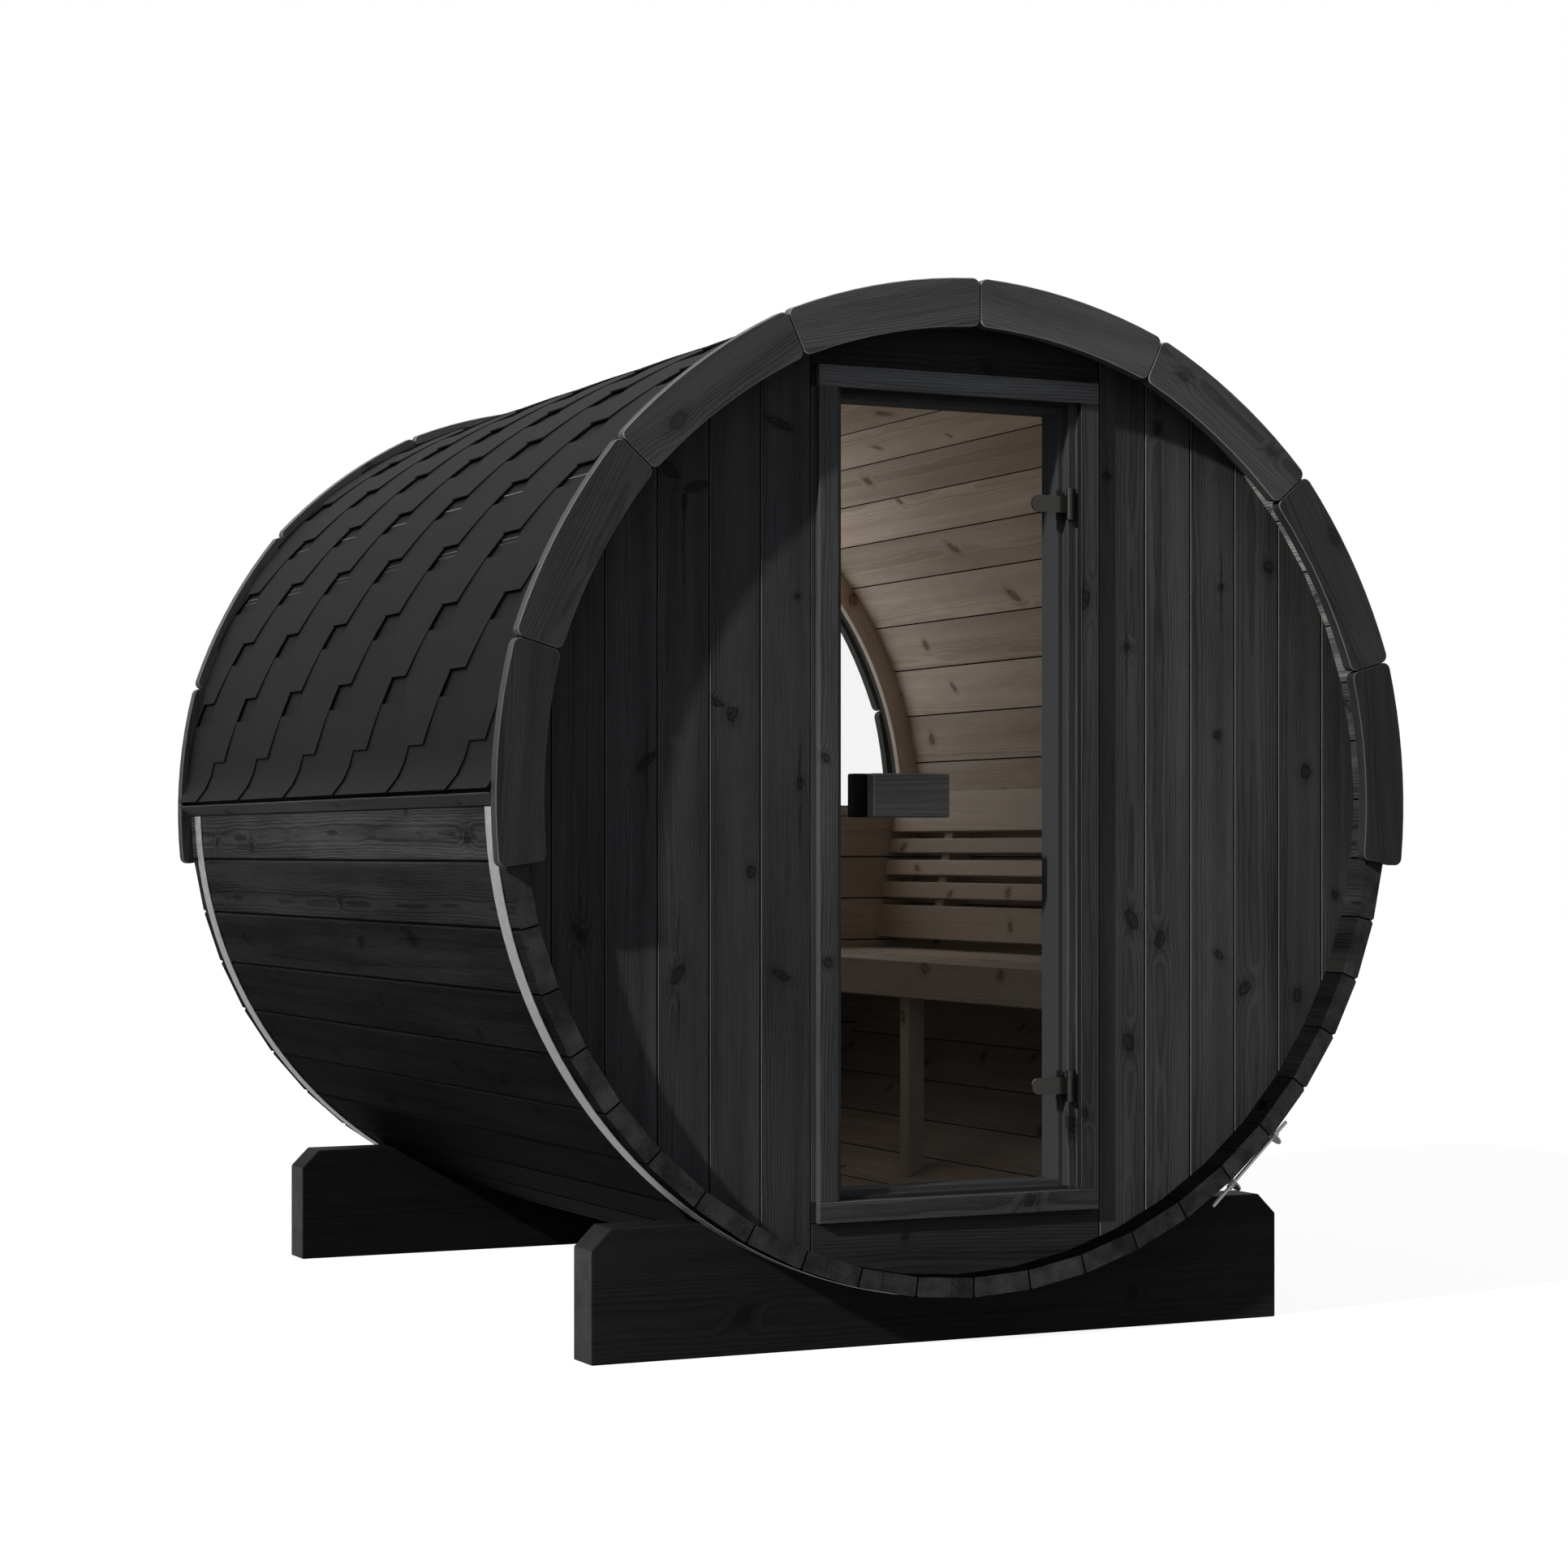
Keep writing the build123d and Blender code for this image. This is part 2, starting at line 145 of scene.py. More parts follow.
def add_math(tree, operation, a, b=None, clamp=False):
    """A Math node fed by sockets or numbers, and its output."""
    node = tree.nodes.new("ShaderNodeMath")
    node.operation = operation
    node.use_clamp = clamp
    for socket, value in zip(node.inputs, (a, b)):
        if value is None:
            continue
        if isinstance(value, (int, float)):
            socket.default_value = value
        else:
            tree.links.new(value, socket)
    return node.outputs[0]


def add_remap(tree, value, low, high, to_low=0.0, to_high=1.0):
    """A smooth step of a value from one range to another."""
    node = tree.nodes.new("ShaderNodeMapRange")
    node.interpolation_type = "SMOOTHSTEP"
    tree.links.new(value, node.inputs["Value"])
    for name, number in (("From Min", low), ("From Max", high), ("To Min", to_low), ("To Max", to_high)):
        node.inputs[name].default_value = number
    return node.outputs["Result"]


def add_color_mix(tree, factor, a, b):
    """A colour between two, where each may be a socket or a tuple."""
    node = tree.nodes.new("ShaderNodeMix")
    node.data_type = "RGBA"
    tree.links.new(factor, node.inputs[0])
    for socket, value in ((node.inputs[6], a), (node.inputs[7], b)):
        if isinstance(value, tuple):
            socket.default_value = (*value, 1.0)
        else:
            tree.links.new(value, socket)
    return node.outputs[2]


# %% [markdown]
# The world is the fill: cool, brighter overhead than at the horizon, and dim. The camera and clear glass
# see it as plain white, and so does gloss that looks past the sauna to the white sheet. Light Path tells
# these rays apart.

# %% World
FILL_COLOR = (0.9, 0.985, 1.13)
FILL_LOW, FILL_HIGH = 0.30, 0.38
FRONT_GLOSS = 0.5

world = bpy.data.worlds.new("studio")
bpy.context.scene.world = world
world.use_nodes = True
sky = world.node_tree
path = sky.nodes.new("ShaderNodeLightPath")
where = sky.nodes.new("ShaderNodeTexCoord")
way = sky.nodes.new("ShaderNodeSeparateXYZ")
sky.links.new(where.outputs["Generated"], way.inputs[0])
fill = add_remap(sky, way.outputs["Z"], -0.1, 0.9, FILL_LOW, FILL_HIGH)
sheet = add_remap(sky, way.outputs["Y"], -0.15, 0.35, FRONT_GLOSS, 1.0)
sheet = add_math(sky, "MULTIPLY", sheet, add_remap(sky, way.outputs["Z"], -0.1, 0.2))
gloss = add_math(sky, "MULTIPLY", path.outputs["Is Glossy Ray"], sheet)
seen = add_math(sky, "MAXIMUM", path.outputs["Is Camera Ray"], path.outputs["Is Transmission Ray"])
fill = add_math(sky, "MULTIPLY", fill, add_math(sky, "SUBTRACT", 1.0, path.outputs["Is Glossy Ray"]))
strength = add_math(sky, "MAXIMUM", seen, add_math(sky, "ADD", gloss, fill))
background = sky.nodes["Background"]
sky.links.new(add_color_mix(sky, add_math(sky, "ADD", seen, path.outputs["Is Glossy Ray"], clamp=True),
                            FILL_COLOR, (1.0, 1.0, 1.0)), background.inputs["Color"])
sky.links.new(strength, background.inputs["Strength"])
print("world fill", FILL_LOW, "to", FILL_HIGH)

# %% [markdown]
# The floor is one large sheet that isn't part of the sauna. It is a dull grey that bounces little light
# up, with a glow added that only the camera and clear glass see in full. So it meets the backdrop
# without a horizon, and still takes the shadow of the cradles.

# %% Floor
FLOOR_SIZE = 60.0
FLOOR_COLOR = (0.2, 0.196, 0.19)
FLOOR_GLOW = 0.91
GLOSS_SHARE = 0.2


def material(name):
    """A new node material with its tree emptied but for the output, and the tree's nodes and links."""
    made = bpy.data.materials.new(name)
    made.use_nodes = True
    made.node_tree.nodes.clear()
    made.node_tree.nodes.new("ShaderNodeOutputMaterial")
    return made, made.node_tree.nodes, made.node_tree.links


def floor_finish():
    """Matt grey with a glow for the camera and for glass, and a little of it for gloss."""
    made, nodes, links = material("studio_floor")
    tree = made.node_tree
    matt = nodes.new("ShaderNodeBsdfDiffuse")
    matt.inputs["Color"].default_value = (*FLOOR_COLOR, 1)
    path = nodes.new("ShaderNodeLightPath")
    seen = add_math(tree, "MAXIMUM", path.outputs["Is Camera Ray"], path.outputs["Is Transmission Ray"])
    shared = add_math(tree, "MULTIPLY", path.outputs["Is Glossy Ray"], GLOSS_SHARE)
    seen = add_math(tree, "MAXIMUM", seen, shared)
    glow = nodes.new("ShaderNodeEmission")
    links.new(add_math(tree, "MULTIPLY", seen, FLOOR_GLOW), glow.inputs["Strength"])
    both = nodes.new("ShaderNodeAddShader")
    links.new(matt.outputs[0], both.inputs[0])
    links.new(glow.outputs[0], both.inputs[1])
    links.new(both.outputs[0], nodes["Material Output"].inputs["Surface"])
    return made


floor_shape = bmesh.new()
bmesh.ops.create_grid(floor_shape, x_segments=1, y_segments=1, size=FLOOR_SIZE / 2)
floor_mesh = bpy.data.meshes.new("floor")
floor_shape.to_mesh(floor_mesh)
floor_shape.free()
floor_mesh.materials.append(floor_finish())
floor = bpy.data.objects.new("floor", floor_mesh)
bpy.context.scene.collection.objects.link(floor)
print("floor", FLOOR_SIZE, "m square")

# %% [markdown]
# ## Softwood
# Grain isn't a picture on the wood: it is a slice through the tree. So the wood here is a solid
# pattern, rings about a pith that lies below each board, and it shows as long lines on a face and as
# arcs on sawn ends. It needs to know where it is inside its own board, so each board carries a point
# attribute called grain: metres along the board, across it, and through it, with a start of its own.
# A knot is a branch that the saw cut through: an oval with a dark rim, with the rings bent round it and
# often a dark streak of resin along the grain. Each stretch of a board holds one knot, and a second
# attribute, on the corners of its faces, tells how many knot radii away every spot is.

# %% Grain group
RING_PITCH = 0.0042
RING_PUSH = 0.005
PITH_SWING = 0.055
STREAK_HALF = 0.0055
STREAK_WAVER = 0.012
STREAK_REACH = 15.0
LATE_SHARE = -0.28
LAYER_SHARES = {"fibre": 0.85, "broad": 1.0, "cloud": 0.6}
MEAN_SHADE = 0.6


def add_noise(tree, vector, scale, detail=2.0, roughness=0.5):
    """Noise on a vector that is stretched first by a scale of three numbers."""
    stretch = tree.nodes.new("ShaderNodeVectorMath")
    stretch.operation = "MULTIPLY"
    tree.links.new(vector, stretch.inputs[0])
    stretch.inputs[1].default_value = scale
    node = tree.nodes.new("ShaderNodeTexNoise")
    node.inputs["Scale"].default_value = 1.0
    node.inputs["Detail"].default_value = detail
    node.inputs["Roughness"].default_value = roughness
    tree.links.new(stretch.outputs[0], node.inputs["Vector"])
    return node.outputs["Fac"]


def add_knot(tree, place, offset):
    """From a spot's offset to its knot: the distance in knot radii, the knot, its rim and its streak."""
    parts = tree.nodes.new("ShaderNodeSeparateXYZ")
    tree.links.new(offset, parts.inputs[0])
    squares = add_math(tree, "ADD", add_math(tree, "MULTIPLY", parts.outputs[0], parts.outputs[0]),
                       add_math(tree, "MULTIPLY", parts.outputs[1], parts.outputs[1]))
    ragged = add_noise(tree, place, (50.0, 120.0, 120.0), 3.0)
    reach = add_math(tree, "ADD", add_math(tree, "MULTIPLY", add_math(tree, "SQRT", squares), 0.78),
                     add_math(tree, "MULTIPLY", ragged, 0.7))
    core = add_remap(tree, reach, 1.4, 1.05)
    rim = add_math(tree, "MULTIPLY", core, add_remap(tree, reach, 0.75, 1.15))
    speckle = add_noise(tree, place, (160.0, 300.0, 300.0))
    heart = add_math(tree, "MULTIPLY", core, add_remap(tree, speckle, 0.4, 0.62))
    knot = add_math(tree, "ADD", add_math(tree, "MULTIPLY", core, 0.5),
                    add_math(tree, "MULTIPLY", add_math(tree, "MAXIMUM", rim, heart), 0.5))
    halo = add_math(tree, "MULTIPLY", add_remap(tree, reach, 2.6, 1.1), 0.3)
    waver = add_math(tree, "MULTIPLY", add_math(tree, "SUBTRACT", ragged, 0.5), STREAK_WAVER)
    side = add_math(tree, "ABSOLUTE", add_math(tree, "ADD", parts.outputs[2], waver))
    broken = add_remap(tree, add_noise(tree, place, (9.0, 200.0, 200.0), 2.0), 0.38, 0.6)
    streak = add_math(tree, "MULTIPLY", add_remap(tree, side, STREAK_HALF, 0.0005), broken)
    streak = add_math(tree, "MULTIPLY", streak, add_remap(tree, reach, STREAK_REACH, 2.0))
    return reach, add_math(tree, "MAXIMUM", knot, halo), streak


def grain_group():
    """Rings, fibres, knots and streaks of a softwood board, from its place in the board."""
    tree = bpy.data.node_groups.new("softwood_grain", "ShaderNodeTree")
    for name in ("Place", "Knot Offset"):
        tree.interface.new_socket(name, in_out="INPUT", socket_type="NodeSocketVector")
    tree.interface.new_socket("Contrast", in_out="INPUT", socket_type="NodeSocketFloat").default_value = 1.0
    for name in ("Shade", "Knot", "Streak", "Height"):
        tree.interface.new_socket(name, in_out="OUTPUT", socket_type="NodeSocketFloat")
    start = tree.nodes.new("NodeGroupInput")
    end = tree.nodes.new("NodeGroupOutput")
    place = start.outputs["Place"]
    reach, knot, tail = add_knot(tree, place, start.outputs["Knot Offset"])
    parts = tree.nodes.new("ShaderNodeSeparateXYZ")
    tree.links.new(place, parts.inputs[0])
    bend = add_noise(tree, place, (0.9, 3.5, 3.5), 1.0)
    across = add_math(tree, "ADD", parts.outputs[1], add_math(tree, "MULTIPLY", bend, PITH_SWING))
    ripple = add_noise(tree, place, (5.0, 14.0, 14.0), 1.0)
    depth = add_math(tree, "ADD", parts.outputs[2], add_math(tree, "MULTIPLY", ripple, 0.006))
    squares = add_math(tree, "ADD", add_math(tree, "MULTIPLY", across, across),
                       add_math(tree, "MULTIPLY", depth, depth))
    pushed = add_math(tree, "ADD", add_math(tree, "SQRT", squares),
                      add_math(tree, "MULTIPLY", add_remap(tree, reach, 3.6, 0.8), RING_PUSH))
    turn = add_math(tree, "FRACT", add_math(tree, "DIVIDE", pushed, RING_PITCH))
    late = add_math(tree, "MULTIPLY", add_remap(tree, turn, 0.3, 0.9), add_remap(tree, turn, 1.0, 0.93))
    layers = {
        "fibre": add_noise(tree, place, (11.0, 380.0, 380.0), 3.0, 0.65),
        "broad": add_noise(tree, place, (1.0, 24.0, 24.0), 2.0),
        "cloud": add_noise(tree, place, (2.2, 6.0, 6.0), 2.0),
    }
    shade = add_math(tree, "MULTIPLY", late, LATE_SHARE)
    for name, layer in layers.items():
        swing = add_math(tree, "MULTIPLY", add_math(tree, "SUBTRACT", layer, 0.5), LAYER_SHARES[name])
        shade = add_math(tree, "ADD", shade, swing)
    shade = add_math(tree, "MULTIPLY", shade, start.outputs["Contrast"])
    shade = add_math(tree, "ADD", shade, MEAN_SHADE, clamp=True)
    drawn = add_remap(tree, add_noise(tree, place, (0.7, 34.0, 34.0), 2.0), 0.64, 0.78)
    streak = add_math(tree, "MAXIMUM", tail, add_math(tree, "MULTIPLY", drawn, 0.6))
    lines = add_math(tree, "MULTIPLY", late, 0.6)
    hairs = add_math(tree, "MULTIPLY", layers["fibre"], 0.6)
    height = add_math(tree, "SUBTRACT", add_math(tree, "ADD", lines, hairs), knot)
    for name, value in (("Shade", shade), ("Knot", knot), ("Streak", streak), ("Height", height)):
        tree.links.new(value, end.inputs[name])
    return tree


GRAIN = grain_group()
print("grain group", len(GRAIN.nodes), "nodes")

# %% [markdown]
# Outside, the wood is stained black, and the stain is thin enough for the grain to show through. Inside,
# it is bare. The change is at a plane in the middle of each end wall, so a mask of the place in the whole
# barrel picks one or the other: between the two planes and within the inner face of the staves is inside.

# %% Inside mask group
WALL_SEAT = 0.0093
INSIDE_RADIUS = R_IN + WALL_SEAT


def inside_group():
    """1 between the end walls and within the inner face of the staves, 0 elsewhere."""
    tree = bpy.data.node_groups.new("inside_the_barrel", "ShaderNodeTree")
    tree.interface.new_socket("Place", in_out="INPUT", socket_type="NodeSocketVector")
    tree.interface.new_socket("Inside", in_out="OUTPUT", socket_type="NodeSocketFloat")
    start = tree.nodes.new("NodeGroupInput")
    end = tree.nodes.new("NodeGroupOutput")
    parts = tree.nodes.new("ShaderNodeSeparateXYZ")
    tree.links.new(start.outputs["Place"], parts.inputs[0])
    rise = add_math(tree, "SUBTRACT", parts.outputs[2], AXIS_Z)
    squares = add_math(tree, "ADD", add_math(tree, "MULTIPLY", parts.outputs[0], parts.outputs[0]),
                       add_math(tree, "MULTIPLY", rise, rise))
    within = add_math(tree, "LESS_THAN", squares, INSIDE_RADIUS ** 2)
    between = add_math(tree, "LESS_THAN", add_math(tree, "ABSOLUTE", parts.outputs[1]), GLASS_MIDDLE)
    tree.links.new(add_math(tree, "MULTIPLY", within, between), end.inputs["Inside"])
    return tree


INSIDE = inside_group()
print("inside is bare within", round(INSIDE_RADIUS, 4), "m of the axis")

# %% [markdown]
# Both finishes are one recipe with other colours: a dark and a light tone mixed by the grain, and knots
# and streaks laid over. More attributes vary it. Two numbers for each board, board for the bare tone and
# stain for the black, make it a little lighter or darker than the next. They also carry painted shade and
# light: the staves, the fascia and all bare wood are painted darker low down, and a few pieces are painted
# lighter or darker as a whole. The edge attribute holds the distances to the board's two long edges, in
# metres, and paints the bottom of the joints, where dirt and shade gather. The faces that the bevel makes
# are marked as worn and painted lighter, as wear, because on an arris the stain is thin, and as a painted
# highlight along the edge. Those across the grain are marked as sawn, because end grain keeps a tone of
# its own.

# %% Wood materials
BLACK_DARK = (0.021, 0.0212, 0.0216)
BLACK_LIGHT = (0.088, 0.0865, 0.084)
BLACK_KNOT = (0.006, 0.006, 0.007)
BARE_DARK = (0.434, 0.35, 0.275)
BARE_LIGHT = (0.616, 0.54, 0.455)
BARE_KNOT = (0.15, 0.07, 0.035)
# Painted shade: the inner sides of the side trims are dark brown, though the key light falls on them.
REVEAL_PAINTED_SHADE = (0.018, 0.0145, 0.012)
# Painted reflection: the frame behind the door glass is a lighter grey, for the glass's reflection over it.
REBATE_PAINTED_REFLECTION = (0.047, 0.049, 0.051)
# Worn arrises, painted lighter: wear, and a painted highlight along the edges.
WORN_AND_HIGHLIGHT = (0.16, 0.155, 0.148)
JOINT_BLACK = (0.0015, 0.0015, 0.0018)
JOINT_WIDE = 0.0019
GRAIN_DEEP = 0.0012


def add_attribute(tree, name, output="Fac"):
    """The socket of a mesh attribute."""
    node = tree.nodes.new("ShaderNodeAttribute")
    node.attribute_name = name
    return node.outputs[output]


def wood_tone(tree, grain, dark, light, knot_color, streak_share):
    """One finish of the wood: its two tones, then the streaks and the knots over them."""
    tone = add_color_mix(tree, grain.outputs["Shade"], dark, light)
    streak = add_math(tree, "MULTIPLY", grain.outputs["Streak"], streak_share)
    tone = add_color_mix(tree, streak, tone, knot_color)
    knot = add_math(tree, "MULTIPLY", grain.outputs["Knot"], 0.9)
    return add_color_mix(tree, knot, tone, knot_color)


def add_scaled(tree, color, factor):
    """A colour times a number."""
    node = tree.nodes.new("ShaderNodeVectorMath")
    node.operation = "SCALE"
    tree.links.new(color, node.inputs[0])
    tree.links.new(factor, node.inputs["Scale"])
    return node.outputs[0]


def add_within(tree, value, limit):
    """1 where the absolute value is under a limit."""
    return add_math(tree, "LESS_THAN", add_math(tree, "ABSOLUTE", value), limit)


def wood(name, stain=1.0, bare_inside=True, bare_everywhere=False, bump=0.35, roughness=0.6, gloss=0.1,
         contrast=1.0, worn_and_highlight=0.0, shaded_reveal=0.0, sawn=0.0, behind=0.0):
    """Softwood stained black outside and bare inside, or bare all over, with painted shade and light where
    asked.
    """
    made, nodes, links = material(name)
    tree = made.node_tree
    grain = nodes.new("ShaderNodeGroup")
    grain.node_tree = GRAIN
    links.new(add_attribute(tree, "grain", "Vector"), grain.inputs["Place"])
    links.new(add_attribute(tree, "knot", "Vector"), grain.inputs["Knot Offset"])
    grain.inputs["Contrast"].default_value = contrast
    where = nodes.new("ShaderNodeTexCoord")
    spot = nodes.new("ShaderNodeSeparateXYZ")
    links.new(where.outputs["Object"], spot.inputs[0])
    dark, light = [tuple(stain * channel for channel in tone) for tone in (BLACK_DARK, BLACK_LIGHT)]
    bare = wood_tone(tree, grain, BARE_DARK, BARE_LIGHT, BARE_KNOT, 0.2)
    # The board attribute is the bare tone of each board, with painted shade that darkens it low down.
    bare = add_scaled(tree, bare, add_attribute(tree, "board"))
    color = bare
    if not bare_everywhere:
        color = wood_tone(tree, grain, dark, light, BLACK_KNOT, 0.75)
        # The bevel faces are painted lighter, as wear and as a painted highlight.
        if worn_and_highlight:
            mark = add_math(tree, "MULTIPLY", add_attribute(tree, "worn_and_highlight"), worn_and_highlight)
            color = add_color_mix(tree, mark, color, WORN_AND_HIGHLIGHT)
        # Painted shade on the inner sides of the side trims, within the door opening.
        if shaded_reveal:
            color = add_color_mix(tree, add_within(tree, spot.outputs["X"], shaded_reveal), color, REVEAL_PAINTED_SHADE)
        # The stain attribute is each board's tone, with painted shade and light from rise and level.
        level = add_attribute(tree, "stain")
        if sawn:
            ends = nodes.new("ShaderNodeMix")
            links.new(add_attribute(tree, "sawn"), ends.inputs[0])
            links.new(level, ends.inputs[2])
            ends.inputs[3].default_value = sawn
            level = ends.outputs[0]
        color = add_scaled(tree, color, level)
        # Painted reflection: behind the glass the frame is painted a lighter grey.
        if behind:
            rebate = add_math(tree, "GREATER_THAN", spot.outputs["Y"], behind)
            color = add_color_mix(tree, rebate, color, REBATE_PAINTED_REFLECTION)
        if bare_inside:
            inside = nodes.new("ShaderNodeGroup")
            inside.node_tree = INSIDE
            links.new(where.outputs["Object"], inside.inputs["Place"])
            color = add_color_mix(tree, inside.outputs["Inside"], color, bare)
    sides = nodes.new("ShaderNodeSeparateXYZ")
    links.new(add_attribute(tree, "edge", "Vector"), sides.inputs[0])
    nearest = add_math(tree, "MINIMUM", sides.outputs[0], sides.outputs[1])
    joint = add_remap(tree, nearest, JOINT_WIDE, 0.6 * JOINT_WIDE)
    final = add_color_mix(tree, joint, color, JOINT_BLACK)
    surface = nodes.new("ShaderNodeBsdfPrincipled")
    links.new(final, surface.inputs["Base Color"])
    surface.inputs["Roughness"].default_value = roughness
    surface.inputs["Specular IOR Level"].default_value = gloss
    relief = nodes.new("ShaderNodeBump")
    relief.inputs["Strength"].default_value = bump
    relief.inputs["Distance"].default_value = GRAIN_DEEP
    links.new(grain.outputs["Height"], relief.inputs["Height"])
    links.new(relief.outputs[0], surface.inputs["Normal"])
    links.new(surface.outputs[0], nodes["Material Output"].inputs["Surface"])
    return made


TRIM_WIDE = 0.043
OPENING_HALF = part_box("door_trim_sides")[1].x - TRIM_WIDE
WALL_WOOD = wood("black_wall_boards", stain=0.77, gloss=0.08, worn_and_highlight=0.8)
PANEL_WOOD = wood("black_panels", stain=0.58, gloss=0.08)
BATTEN_WOOD = wood("black_batten", stain=0.8, gloss=0.1)
STAVE_WOOD = wood("black_staves", stain=0.84, gloss=0.012, contrast=1.6, sawn=0.95)
FASCIA_WOOD = wood("black_fascia", stain=0.40, bare_inside=False, gloss=0.22, roughness=0.5,
                   contrast=1.1, worn_and_highlight=0.5)
TRIM_WOOD = wood("black_trim", stain=0.95, bare_inside=False, gloss=0.08, worn_and_highlight=0.25)
# The side trims carry painted shade on their inner sides.
SIDE_TRIM_WOOD = wood("black_side_trim", stain=0.95, bare_inside=False, gloss=0.08, worn_and_highlight=0.25,
                      shaded_reveal=OPENING_HALF + 0.0004)
GLASS_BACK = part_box("door_glass")[1].y
# The door frame is painted a lighter grey behind the glass, as a painted reflection.
FRAME_WOOD = wood("black_door_frame", stain=1.1, bare_inside=False, gloss=0.08, behind=GLASS_BACK)
CRADLE_WOOD = wood("black_cradle", stain=0.33, bare_inside=False, gloss=0.05, contrast=0.8, sawn=2.2)
HANDLE_WOOD = wood("black_handle", stain=1.1, bare_inside=False, gloss=0.08, contrast=0.7, sawn=0.3)
BARE_WOOD = wood("bare_wood", bare_everywhere=True, bump=0.2, roughness=0.6, gloss=0.2, contrast=0.8)

# %% [markdown]
# ## Dressing the timber
# The CAD boards have the right size and place, but their edges are knife sharp, and no plane or sander
# leaves wood like that. Each node is copied, its loose triangles are merged back into faces, and its
# sharp edges are bevelled. On the end walls that bevel is the V joint between boards. The copy stands for
# the CAD node. While the boards are still apart, each gets its grain direction, which is its longest way.

# %% Helpers for timber
SHARP = radians(25)
FLAT = radians(0.5)
MERGE = 1e-5
SNAP = 0.97
FAR = 99.0
SAWN = 0.9
# Painted shade: bare wood is painted darker the lower the board lies, at this rate per metre.
PAINTED_SHADE_RISE = 0.6
KNOT_GAP = 0.7
KNOT_ACROSS = (0.007, 0.013)
KNOT_STRETCH = (1.0, 2.0)
KNOT_TURN = radians(50)
random.seed(7)


def islands(shape):
    """The separate solids of a bmesh, each a list of its points."""
    left = set(shape.verts)
    groups = []
    for first in shape.verts:
        if first not in left:
            continue
        left.discard(first)
        group, edge = [first], [first]
        while edge:
            point = edge.pop()
            for link in point.link_edges:
                other = link.other_vert(point)
                if other in left:
                    left.discard(other)
                    group.append(other)
                    edge.append(other)
        groups.append(group)
    return groups


def board_axes(points, snap):
    """Unit vectors along, across and through a board, from the spread of its points."""
    cloud = np.array([tuple(point.co) for point in points])
    spread = np.linalg.eigh(np.cov((cloud - cloud.mean(0)).T))[1]
    along = Vector(spread[:, 2])
    if snap:
        main = max(range(3), key=lambda i: abs(along[i]))
        if abs(along[main]) > SNAP:
            along = Vector([1.0 if i == main else 0.0 for i in range(3)])
    across = Vector(spread[:, 1])
    across = (across - along * across.dot(along)).normalized()
    if max(across, key=abs) < 0:
        across.negate()
    return along, across, along.cross(across)

# %% [markdown]
# The knots come one to a stretch of board. The board is cut across with bisect_plane half-way between two
# knots, which changes nothing of its form, and every face corner of a stretch then stores its offset to
# that stretch's own knot. The boards left of the door have their knots where the photograph shows them,
# and all others get theirs by chance.

# %% Knots
# Each is: place across x, height z, half width, half length, turn in degrees, and 1 for a streak.
SEEN_KNOTS = (
    (-0.645, 1.756, 0.010, 0.030, 42, 0),
    (-0.589, 1.731, 0.009, 0.026, -70, 0),
    (-0.615, 1.700, 0.005, 0.020, 0, 1),
    (-0.511, 1.286, 0.011, 0.019, 0, 0),
    (-0.550, 1.305, 0.007, 0.022, 68, 0),
    (-0.628, 0.767, 0.010, 0.022, -30, 1),
    (-0.838, 0.848, 0.008, 0.020, 30, 1),
    (-0.368, 1.520, 0.006, 0.006, 0, 0),
    (-0.695, 1.187, 0.008, 0.024, -50, 1),
    (-0.361, 1.144, 0.007, 0.012, 0, 1),
    (-0.469, 0.968, 0.009, 0.012, 0, 0),
    (-0.402, 0.760, 0.008, 0.020, 65, 0),
    (-0.408, 1.865, 0.008, 0.028, 70, 0),
)


def chance_knots(low, high, half):
    """Knots along one board at uneven distances: along, across, half width, half length, turn, streak."""
    found = []
    spot = low + random.uniform(0.04, KNOT_GAP)
    while spot < high - 0.03:
        wide = random.uniform(*KNOT_ACROSS)
        found.append((spot, random.uniform(-0.75, 0.75) * half, wide, wide * random.uniform(*KNOT_STRETCH),
                      random.uniform(-KNOT_TURN, KNOT_TURN), random.random() < 0.4))
        spot += random.uniform(0.3, 1.6) * KNOT_GAP
    return found


def write_knots(shape, points, middle, along, across, low, high, half, seen):
    """Cut one board between its knots and store every face corner's offset to its own knot."""
    layer = shape.loops.layers.float_vector["knot"]
    knots = [(z - middle.z, x - middle.x, wide, long, radians(turn), streak)
             for x, z, wide, long, turn, streak in seen if abs(x - middle.x) < half]
    knots = sorted(knots or chance_knots(low, high, half))
    faces = connected_faces(points)
    for before, after in zip(knots, knots[1:]):
        geometry = dict.fromkeys(item for face in faces for item in (face, *face.edges, *face.verts))
        cut = bmesh.ops.bisect_plane(shape, geom=list(geometry), dist=1e-6, plane_no=along,
                                     plane_co=middle + along * (before[0] + after[0]) / 2)
        faces = [item for item in cut["geom"] if isinstance(item, bmesh.types.BMFace)]
    for face in faces:
        spot = (face.calc_center_median() - middle).dot(along)
        near = min(knots, key=lambda knot: abs(knot[0] - spot), default=None)
        if near is None:
            continue
        for loop in face.loops:
            off = loop.vert.co - middle
            u, v = off.dot(across) - near[1], off.dot(along) - near[0]
            turned_u = cos(near[4]) * u + sin(near[4]) * v
            turned_v = cos(near[4]) * v - sin(near[4]) * u
            loop[layer] = (turned_u / near[2], turned_v / near[3], u if near[5] else FAR)


